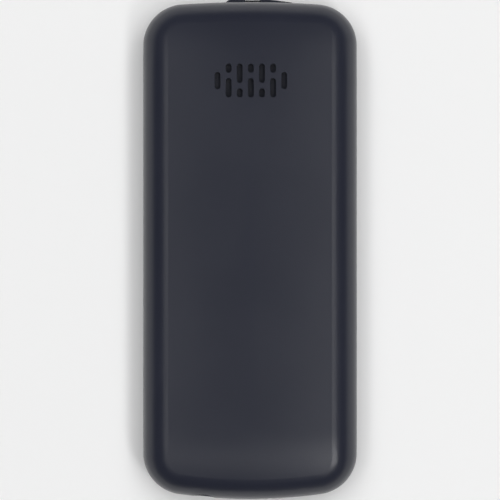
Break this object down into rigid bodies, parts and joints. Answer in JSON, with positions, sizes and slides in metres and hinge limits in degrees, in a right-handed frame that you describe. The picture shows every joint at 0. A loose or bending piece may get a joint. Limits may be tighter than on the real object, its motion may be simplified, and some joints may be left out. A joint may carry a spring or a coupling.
{
  "type": "feature phone",
  "caption": "Bar-shaped feature phone with a keypad and small display on the front, a rounded clip-fit back cover with a slotted loudspeaker grille, and a removable battery.",
  "frame": {"origin": "under the middle of the whole phone, on the plane of the front rim that it lies on", "axes": "+Z out of the back cover, +Y towards the loudspeaker and torch end, +X to the right when looking at the back"},
  "size_m": [0.049, 0.1148, 0.0146],
  "materials": {
    "cover_slate": "matte, fine moulded texture",
    "housing_black": "matte, fine moulded texture",
    "chassis_black": "matte",
    "window_clear": "clear gloss",
    "foam_black": "open foam",
    "display_panel": "satin panel in a metal frame",
    "flex_amber": "film",
    "board_green": "solder mask",
    "tin_plate": "tinned",
    "connector_black": "moulded",
    "battery_wrap": "printed film",
    "rubber_black": "matte",
    "speaker_steel": "black frame",
    "mesh_black": "fine mesh",
    "lens_clear": "clear gloss",
    "led_white": "ceramic",
    "tungsten_grey": "sintered",
    "antenna_brass": "plated sheet",
    "screw_steel": "black zinc",
    "silicone_grey": "silicone",
    "dome_steel": "sprung",
    "key_black": "satin",
    "ring_silver": "metallised satin"
  },
  "bodies": {
    "body": {"front_housing": "housing_black", "rear_housing": "chassis_black", "display_window": "window_clear", "display_gasket": "foam_black", "lcd_module": "display_panel", "lcd_flex": "flex_amber", "main_board": "board_green", "rf_shield": "tin_plate", "processor_shield": "tin_plate", "sim_holder_left": "tin_plate", "sim_holder_right": "tin_plate", "memory_card_holder": "tin_plate", "battery_connector": "connector_black", "usb_socket": "tin_plate", "audio_socket": "connector_black", "microphone": "tin_plate", "microphone_boot": "rubber_black", "earpiece": "speaker_steel", "earpiece_mesh": "mesh_black", "torch_lens": "lens_clear", "torch_led": "led_white", "loudspeaker": "speaker_steel", "loudspeaker_gasket": "foam_black", "vibration_motor": "tin_plate", "antenna": "antenna_brass", "housing_screws": "screw_steel", "keypad_mat": "silicone_grey", "dome_sheet": "dome_steel"},
    "rear_cover": {"rear_cover": "cover_slate"},
    "battery": {"battery": "battery_wrap"},
    "soft_key_left": {"soft_key_left": "key_black"},
    "soft_key_right": {"soft_key_right": "key_black"},
    "call_key": {"call_key": "key_black"},
    "end_key": {"end_key": "key_black"},
    "key_1": {"key_1": "key_black"},
    "key_2": {"key_2": "key_black"},
    "key_3": {"key_3": "key_black"},
    "key_4": {"key_4": "key_black"},
    "key_5": {"key_5": "key_black"},
    "key_6": {"key_6": "key_black"},
    "key_7": {"key_7": "key_black"},
    "key_8": {"key_8": "key_black"},
    "key_9": {"key_9": "key_black"},
    "key_star": {"key_star": "key_black"},
    "key_0": {"key_0": "key_black"},
    "key_hash": {"key_hash": "key_black"},
    "select_key": {"select_key": "key_black"},
    "nav_base": {"nav_base": "key_black"},
    "nav_ring": {"nav_ring": "ring_silver"},
    "motor_weight": {"motor_weight": "tungsten_grey"}
  },
  "joints": [
    {"name": "cover_lift", "type": "slide", "parent": "body", "child": "rear_cover", "axis": [0, 0, 1], "range_m": [0, 0.05]},
    {"name": "battery_lift", "type": "slide", "parent": "body", "child": "battery", "axis": [0, 0, 1], "range_m": [0, 0.02]},
    {"name": "soft_key_left_press", "type": "slide", "parent": "body", "child": "soft_key_left", "axis": [0, 0, 1], "range_m": [0, 0.0004], "stiffness_N_per_m": 400},
    {"name": "soft_key_right_press", "type": "slide", "parent": "body", "child": "soft_key_right", "axis": [0, 0, 1], "range_m": [0, 0.0004], "stiffness_N_per_m": 400},
    {"name": "call_key_press", "type": "slide", "parent": "body", "child": "call_key", "axis": [0, 0, 1], "range_m": [0, 0.0004], "stiffness_N_per_m": 400},
    {"name": "end_key_press", "type": "slide", "parent": "body", "child": "end_key", "axis": [0, 0, 1], "range_m": [0, 0.0004], "stiffness_N_per_m": 400},
    {"name": "key_1_press", "type": "slide", "parent": "body", "child": "key_1", "axis": [0, 0, 1], "range_m": [0, 0.0004], "stiffness_N_per_m": 400},
    {"name": "key_2_press", "type": "slide", "parent": "body", "child": "key_2", "axis": [0, 0, 1], "range_m": [0, 0.0004], "stiffness_N_per_m": 400},
    {"name": "key_3_press", "type": "slide", "parent": "body", "child": "key_3", "axis": [0, 0, 1], "range_m": [0, 0.0004], "stiffness_N_per_m": 400},
    {"name": "key_4_press", "type": "slide", "parent": "body", "child": "key_4", "axis": [0, 0, 1], "range_m": [0, 0.0004], "stiffness_N_per_m": 400},
    {"name": "key_5_press", "type": "slide", "parent": "body", "child": "key_5", "axis": [0, 0, 1], "range_m": [0, 0.0004], "stiffness_N_per_m": 400},
    {"name": "key_6_press", "type": "slide", "parent": "body", "child": "key_6", "axis": [0, 0, 1], "range_m": [0, 0.0004], "stiffness_N_per_m": 400},
    {"name": "key_7_press", "type": "slide", "parent": "body", "child": "key_7", "axis": [0, 0, 1], "range_m": [0, 0.0004], "stiffness_N_per_m": 400},
    {"name": "key_8_press", "type": "slide", "parent": "body", "child": "key_8", "axis": [0, 0, 1], "range_m": [0, 0.0004], "stiffness_N_per_m": 400},
    {"name": "key_9_press", "type": "slide", "parent": "body", "child": "key_9", "axis": [0, 0, 1], "range_m": [0, 0.0004], "stiffness_N_per_m": 400},
    {"name": "key_star_press", "type": "slide", "parent": "body", "child": "key_star", "axis": [0, 0, 1], "range_m": [0, 0.0004], "stiffness_N_per_m": 400},
    {"name": "key_0_press", "type": "slide", "parent": "body", "child": "key_0", "axis": [0, 0, 1], "range_m": [0, 0.0004], "stiffness_N_per_m": 400},
    {"name": "key_hash_press", "type": "slide", "parent": "body", "child": "key_hash", "axis": [0, 0, 1], "range_m": [0, 0.0004], "stiffness_N_per_m": 400},
    {"name": "select_key_press", "type": "slide", "parent": "body", "child": "select_key", "axis": [0, 0, 1], "range_m": [0, 0.0004], "stiffness_N_per_m": 400},
    {"name": "rocker_up_down", "type": "hinge", "parent": "body", "child": "nav_base", "pos_m": [0, -0.0091, 0.0019], "axis": [1, 0, 0], "range_deg": [-1.5, 1.5], "stiffness_Nm_per_rad": 0.02},
    {"name": "rocker_left_right", "type": "hinge", "parent": "nav_base", "child": "nav_ring", "pos_m": [0, -0.0091, 0.0014], "axis": [0, 1, 0], "range_deg": [-1.5, 1.5], "stiffness_Nm_per_rad": 0.02},
    {"name": "weight_spin", "type": "hinge", "parent": "body", "child": "motor_weight", "pos_m": [0.0155, 0.042, 0.0074], "axis": [0, 1, 0], "continuous": true}
  ],
  "couplings": [
    {"joint": "battery_lift", "follows": "cover_lift", "ratio": 0.4}
  ]
}
